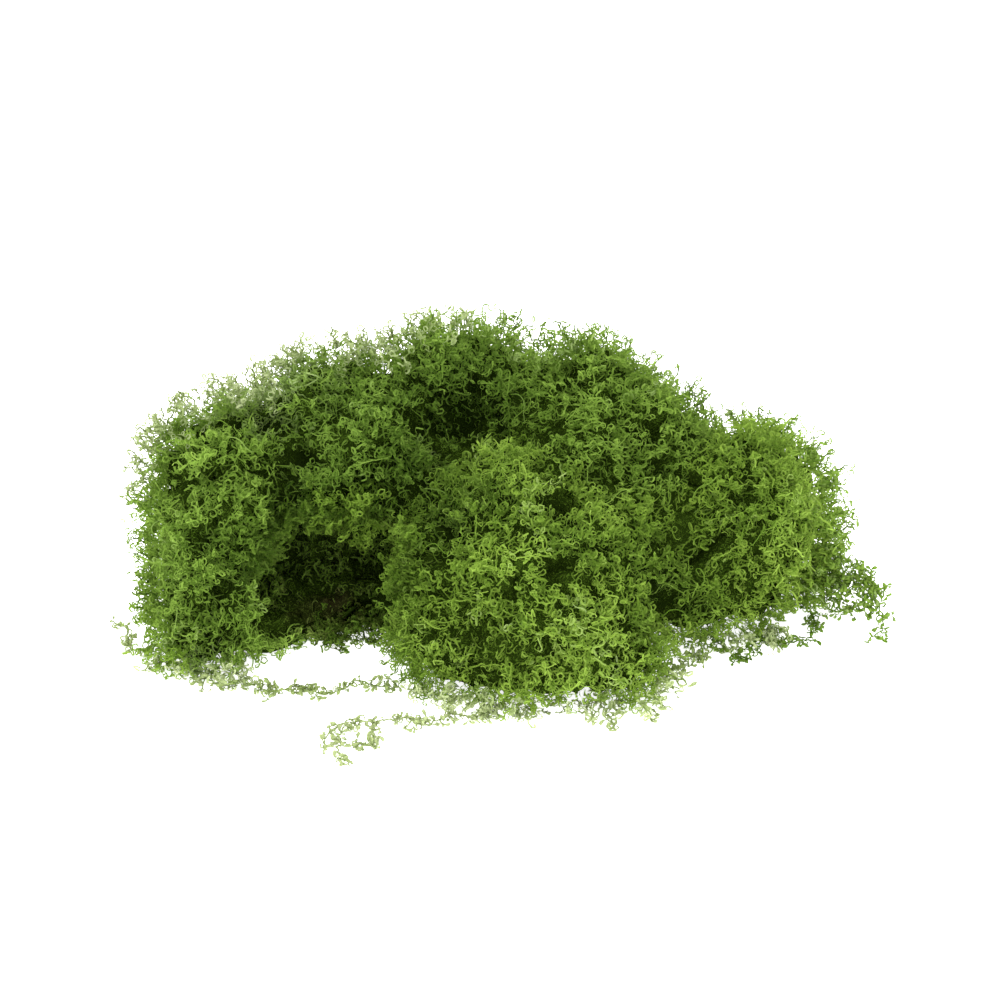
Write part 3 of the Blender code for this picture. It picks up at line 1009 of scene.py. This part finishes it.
def zigzag(start, heading, joints, stride, dice):
    """Wires of straight pieces two steps long. Each piece runs along heading + side x lean x 0.5 to 1.2, for
    a side that mostly turns against the last one, and the main heading wanders.
    """
    side = unit(np.cross(heading, dice.normal(size=heading.shape)))
    places = [start]
    headings = [heading]
    for _ in range(joints):
        side = unit(np.cross(heading, dice.normal(size=heading.shape)) - side * 0.9)
        straight = unit(heading + side * WIRE_LEAN * dice.uniform(0.5, 1.2, size=(len(start), 1)))
        for _ in range(2):
            start = start + straight * stride
            places.append(start)
            headings.append(straight)
        heading = unit(heading + dice.normal(size=heading.shape) * WIRE_WANDER)
    return np.stack(places, axis=1), np.stack(headings, axis=1)


def lobes(roots, headings, sizes, tones, hues, dice):
    """Leaves as small spoons: a thin stalk, which swells towards a rounded end."""
    stride = LOBE_STRIDE * sizes[:, None]
    paths, _ = curly_paths(roots, headings, LOBE_STEPS, stride, LOBE_TURN, dice, sway=0.2)
    tones = tones[:, None] + np.linspace(0, 0.10, LOBE_STEPS + 1)
    return thread(paths, LOBE_RADII * sizes[:, None], tones, along_strand(hues, LOBE_STEPS))


def lace(paths, along, sizes, tones, hues, dice, curled=0.75, solid=False, lobed=0.0):
    """Wires with a knot at every other place. At a share of the knots, curled, stands a leaf that is rolled
    into a ring, paler than the wire and round if solid. At a share of the places, lobed, stands a lobe.
    """
    count, length, _ = paths.shape
    thick, thin = WIRE_RADII
    radii = np.where(np.arange(length) % 2 == 0, thick, thin) * sizes[:, None]
    bundles = [thread(paths, radii, along_strand(tones, length - 1), along_strand(hues, length - 1))]
    for joint in range(2, length, 2):
        grown = dice.random(count) < curled
        if not grown.any():
            continue
        forward = along[grown, joint]
        side = unit(np.cross(forward, dice.normal(size=forward.shape)))
        heading = unit(forward * 0.4 + side)
        size = sizes[grown] * dice.uniform(0.7, 1.3, size=grown.sum())
        stride = CURL_STRIDE * size[:, None]
        knots = paths[grown, joint]
        curls, sides = curly_paths(knots, heading, CURL_STEPS, stride, CURL_TURN, dice, sway=0.12)
        curl_tones = (tones[grown] + 0.08)[:, None] + np.linspace(0, 0.06, CURL_STEPS + 1)
        curl_hues = along_strand(hues[grown] + 0.06, CURL_STEPS)
        taper = size[:, None] * np.linspace(0.9, 1.1, CURL_STEPS + 1)
        if solid:
            bundles.append(thread(curls, CURL_RADIUS * taper, curl_tones, curl_hues))
        else:
            bundles.append(folded_ribbons(curls, sides, CURL_WIDTH * taper, curl_tones, curl_hues))
    if lobed:
        wire, joint = np.nonzero(dice.random((count, length)) < lobed)
        forward = along[wire, joint]
        heading = unit(forward * 0.5 + dice.normal(size=forward.shape))
        size = sizes[wire] * dice.uniform(0.6, 0.95, size=len(wire))
        bundles.append(lobes(paths[wire, joint], heading, size, tones[wire] + 0.06, hues[wire] + 0.04, dice))
    return bundles


# Up to this height in mm the fringes lie flat along the foot of the clump, and are larger and have lobes
FOOT_HEIGHT = 3
FOOT_FLATNESS = 3
FOOT_SIZE = 1.2
FOOT_LOBES = 0.16
# A hue above which a strand takes the pale colour: partly dried, partly painted glare
PALE_HUE = 0.55
FRINGE_SLOTS = {"green": "green_moss", "pale": "pale_green_moss"}
# Middle and reach in mm, number of wires, joints, lean, tone, hue; the tone is lower in the cave's shade:
# painted shade
FRINGES = (
    ((-64, 26, 52), 18, 64, 6, (-0.2, 0, 0.6), 0.52, 0.68),
    ((-84, 8, 46), 14, 50, 6, (-0.5, 0, 0.6), 0.50, 0.60),
    ((-24, 28, 70), 18, 56, 5, (0, 0, 0.8), 0.62, 0.58),
    ((-40, 30, 62), 14, 34, 5, (-0.2, 0, 0.8), 0.52, 0.60),
    ((8, 28, 64), 12, 40, 7, (0, 0, 0.9), 0.62, 0.54),
    ((34, 26, 62), 20, 26, 4, (0, 0, 0.6), 0.64, 0.54),
    ((60, 24, 54), 14, 24, 5, (0.2, 0, 0.7), 0.56, 0.50),
    ((80, 12, 44), 13, 26, 5, (0.7, 0, 0.4), 0.60, 0.50),
    ((85, 6, 26), 13, 44, 6, (0.8, -0.1, 0.1), 0.62, 0.50),
    ((82, 1, 9), 8, 26, 9, (1.3, -0.4, 0.1), 0.66, 0.50),
    ((-88, -2, 22), 17, 34, 5, (-0.6, 0, 0.1), 0.44, 0.50),
    ((8, -50, 1), 18, 44, 4, (0, -0.4, 0.1), 0.68, 0.66),
    ((-14, -46, 1), 13, 30, 4, (-0.2, -0.4, 0.1), 0.68, 0.70),
    ((34, -40, 1), 14, 34, 5, (0.3, -0.5, 0.1), 0.64, 0.62),
    ((-74, -32, 1), 17, 34, 5, (0, -0.5, 0.1), 0.66, 0.74),
    ((60, -14, 1), 15, 34, 5, (0.2, -0.5, 0.1), 0.60, 0.70),
    ((-38, -10, 1), 13, 40, 5, (0, -0.6, 0.1), 0.36, 0.22),
)

dice = np.random.default_rng(62)
bundles = {kind: [] for kind in FRINGE_SLOTS}
for middle, reach, number, joints, lean, tone, hue in FRINGES:
    at_foot = middle[2] < FOOT_HEIGHT
    near, out = near_skin(middle, reach, number, dice, FOOT_FLATNESS if at_foot else 1)
    heading = unit(out * 0.9 + np.array(lean) + dice.normal(size=(number, 3)) * 0.3)
    tones = tone + dice.normal(size=number) * 0.05
    hues = hue + dice.normal(size=number) * 0.06
    sizes = dice.uniform(*WIRE_SIZES, size=number) * (FOOT_SIZE if at_foot else 1)
    paths, along = zigzag(near - out * WIRE_ROOT, heading, joints, WIRE_STRIDE * sizes[:, None], dice)
    kind = "pale" if hue > PALE_HUE else "green"
    bundles[kind] += lace(paths, along, sizes, tones, hues, dice, lobed=FOOT_LOBES if at_foot else 0.0)
for kind, slot in FRINGE_SLOTS.items():
    strands_piece(kind + "_fringes", bundles[kind], slot, list(CUSHIONS))


# Free strands
# Single strands have come loose from the clump and lie on the floor beside it, or reach out over it. Each is
# a wiry stem with small leaves curled into rings along it, short side wires and rounded lobes, and is pale,
# partly dried out and partly painted glare of the light around it. The sprig at the right end is several
# stems grown together.

STRAND_STEP = 0.8 * MM
STRAND_SIZE = 1.15
STRAND_SWING = np.array([0.5, 0.5, 0.15]) * MM
KNOT_SWING = 0.2
SIDE_WIRES = 0.36
SIDE_STRIDE = WIRE_STRIDE * 0.85

# Route in mm, tone, hue, how densely its side wires stand, their joints, and the routes of further stems
FREE_STRANDS = {
    "front_strand": (
        ((2, -40, 1.8), (-1, -46.5, 1.4), (-6, -49, 1.3), (-12, -48, 1.3), (-17.5, -53, 1.3),
         (-23, -50, 1.3), (-30, -51, 1.3), (-37, -52, 1.3), (-41, -57.5, 1.3), (-42, -63, 1.3)),
        0.72, 0.80, 1.0, 2,
    ),
    "front_strand_fork": (
        ((-37, -53, 1.3), (-38, -59.5, 1.3), (-37.5, -66, 1.3), (-34.5, -71, 1.3)),
        0.72, 0.80, 1.0, 2,
    ),
    "front_strand_branch": (
        ((-30.6, -51, 1.3), (-30.4, -57, 1.3), (-30.2, -62, 1.3), (-34.5, -60.5, 1.3)),
        0.70, 0.80, 1.0, 1,
    ),
    "base_garland": (
        ((-78, -25, 1.8), (-73, -31, 1.4), (-68, -34.5, 1.3), (-61, -34, 1.3), (-55, -38, 1.3),
         (-49, -35, 1.3), (-44, -38.5, 1.3), (-39, -37, 1.3), (-35, -32.5, 1.3), (-30, -35.5, 1.4),
         (-25, -37, 1.6)),
        0.66, 0.66, 1.4, 2,
    ),
    "front_tail": (
        ((23.5, -40, 2), (25, -46, 1.4), (26.6, -50, 1.3), (27.2, -55, 1.3)),
        0.70, 0.72, 0.8, 1,
    ),
    "front_right_chain": (
        ((35, -24, 2), (40, -28.5, 1.4), (44.5, -26.5, 1.3), (47.5, -20.5, 1.3), (50.5, -24.5, 1.3)),
        0.62, 0.56, 1.2, 2,
    ),
    "right_floor_strand": (
        ((77, 5, 2), (80, -3, 1.4), (77.5, -12, 1.3), (71, -14.5, 1.3), (64.5, -14, 1.3), (61, -23.5, 1.3),
         (57, -19, 1.4), (54, -13, 1.6)),
        0.60, 0.55, 1.2, 2,
    ),
    "right_sprig": (
        ((80, 7, 9), (87, 2, 9.2), (92.5, 2, 10.8), (96, -2, 9.6), (94.8, -5, 7.8), (96.6, -8.5, 4.4),
         (94.5, -12.5, 1.4)),
        0.96, 0.53, 1.6, 2,
        ((82, 2, 20), (86, 0, 18.5), (89, 0, 15.6), (93, -1, 12.4), (97, -2, 9)),
        ((82, 2, 12), (87.5, -1, 9), (91, -1, 10.5), (95, -3, 8), (96, -5, 5)),
        ((80, 0, 5), (86, -3, 3.5), (90, -3, 4.3), (93, -4, 8.6)),
        ((87.5, 0, 15.6), (87, -1, 9), (86.5, -3, 4), (89.5, -4, 4.2)),
        ((92, -1, 13), (91.5, -2, 7.9), (94.5, -4, 3.4)),
    ),
    "left_loop": (
        ((-86, -16, 1.8), (-91, -18.5, 1.4), (-94, -13, 1.3), (-94, -8, 1.3), (-98.5, -4.5, 1.3)),
        0.66, 0.70, 0.8, 1,
    ),
}


def smooth_route(points, step):
    """A cubic curve through the points, which runs at each as the line between its two neighbours does, then
    points an even step apart along it.
    """
    points = np.concatenate([points[:1] * 2 - points[1:2], points, points[-1:] * 2 - points[-2:-1]])
    share = np.linspace(0, 1, 24, endpoint=False)[None, :, None]
    before, first, second, after = (points[k : len(points) - 3 + k, None] for k in range(4))
    curve = 2 * first + (second - before) * share
    curve = curve + (2 * before - 5 * first + 4 * second - after) * share**2
    curve = (curve + (3 * first - before - 3 * second + after) * share**3) / 2
    curve = np.concatenate([curve.reshape(-1, 3), points[-2:-1]])
    length = np.concatenate([[0], np.cumsum(np.linalg.norm(np.diff(curve, axis=0), axis=1))])
    even = np.linspace(0, length[-1], int(length[-1] / step) + 1)
    return np.stack([np.interp(even, length, curve[:, side]) for side in range(3)], axis=1)


def laced_route(route, tone, hue, density, side_joints, dice):
    """A wire along a route, which swings to a random side at every other place, with its curls, lobes and
    side wires. Two lobes end each side wire.
    """
    route = smooth_route(np.array(route) * MM, STRAND_STEP)
    length = len(route)
    swing = dice.normal(size=(length, 3)) * STRAND_SWING
    swing[1::2] *= KNOT_SWING
    route = (route + swing)[None]
    along = unit(np.gradient(route, axis=1))
    size = np.full(1, STRAND_SIZE)
    wire_tone = np.full(1, tone - 0.04)
    wire_hue = np.full(1, hue - 0.08)
    bundles = lace(route, along, size, wire_tone, wire_hue, dice, curled=0.7, solid=True, lobed=0.5)
    branched = dice.random(length) < SIDE_WIRES * density
    roots = route[0, branched]
    count = len(roots)
    headings = unit(dice.normal(size=(count, 3)) * np.array([1, 1, 0.3]))
    sizes = dice.uniform(*WIRE_SIZES, size=count)
    tones = tone + dice.normal(size=count) * 0.05
    hues = hue + dice.normal(size=count) * 0.05
    paths, along = zigzag(roots, headings, side_joints, SIDE_STRIDE * sizes[:, None], dice)
    bundles += lace(paths, along, sizes, tones - 0.04, hues - 0.08, dice, curled=0.6, solid=True, lobed=0.12)
    tips = np.concatenate([paths[:, -1], paths[:, -1]])
    heading = unit(np.tile(along[:, -1], (2, 1)) + dice.normal(size=(count * 2, 3)) * 0.6)
    bundles.append(lobes(tips, heading, np.tile(sizes, 2), np.tile(tones, 2), np.tile(hues, 2), dice))
    return bundles


dice = np.random.default_rng(71)
for name, (main, tone, hue, density, side_joints, *further) in FREE_STRANDS.items():
    bundles = []
    for route in (main, *further):
        bundles += laced_route(route, tone, hue, density, side_joints, dice)
    slot = FRINGE_SLOTS["pale" if hue > PALE_HUE else "green"]
    strands_piece(name + "_leaves", bundles, slot, [name])


# Floor, light and camera
# The clump lies on a plain white surface in a studio, lit softly from above, with the camera in front of it.

TARGET = Vector((0, 0, 34 * MM))
DISTANCE = 694.4 * MM
ELEVATION = math.radians(28)
SKY_STRENGTH = 1.53

bpy.ops.mesh.primitive_plane_add(size=6, location=(0, 0, -0.2 * MM))
floor = bpy.context.object
floor.name = "studio_floor"
floor_finish = Finish("studio_floor")
floor_finish.feed("Base Color", (0.92, 0.92, 0.92, 1))
floor_finish.feed("Roughness", 0.9)
floor_finish.feed("Specular IOR Level", 0.0)
floor_finish.feed("Emission Color", (1, 1, 1, 1))
floor_finish.feed("Emission Strength", 0.85)
floor.data.materials.append(floor_finish.material)


def soft_light(name, place, size, power):
    """A square softbox that faces the clump."""
    light = bpy.data.lights.new(name, "AREA")
    light.size = size
    light.energy = power
    lamp = bpy.data.objects.new(name, light)
    lamp.location = place
    lamp.rotation_euler = (TARGET - Vector(place)).to_track_quat("-Z", "Y").to_euler()
    bpy.context.scene.collection.objects.link(lamp)


soft_light("overhead_softbox", (0.0, 0.05, 0.9), 0.7, 6.0)
soft_light("front_softbox", (0.1, -0.9, 0.4), 0.5, 2.6)
soft_light("key_softbox", (-0.5, -0.45, 0.75), 0.35, 4.0)

world = bpy.data.worlds.new("studio")
world.use_nodes = True
background = world.node_tree.nodes["Background"]
background.inputs["Color"].default_value = (1, 1, 1, 1)
background.inputs["Strength"].default_value = SKY_STRENGTH
bpy.context.scene.world = world
bpy.context.scene.view_settings.view_transform = "Standard"

camera = bpy.data.objects.new("camera", bpy.data.cameras.new("camera"))
camera.data.lens = 100
camera.data.sensor_width = 36
camera.data.clip_start = 0.01
camera.location = TARGET + DISTANCE * Vector((0, -math.cos(ELEVATION), math.sin(ELEVATION)))
camera.rotation_euler = (TARGET - camera.location).to_track_quat("-Z", "Y").to_euler()
bpy.context.scene.collection.objects.link(camera)
bpy.context.scene.camera = camera
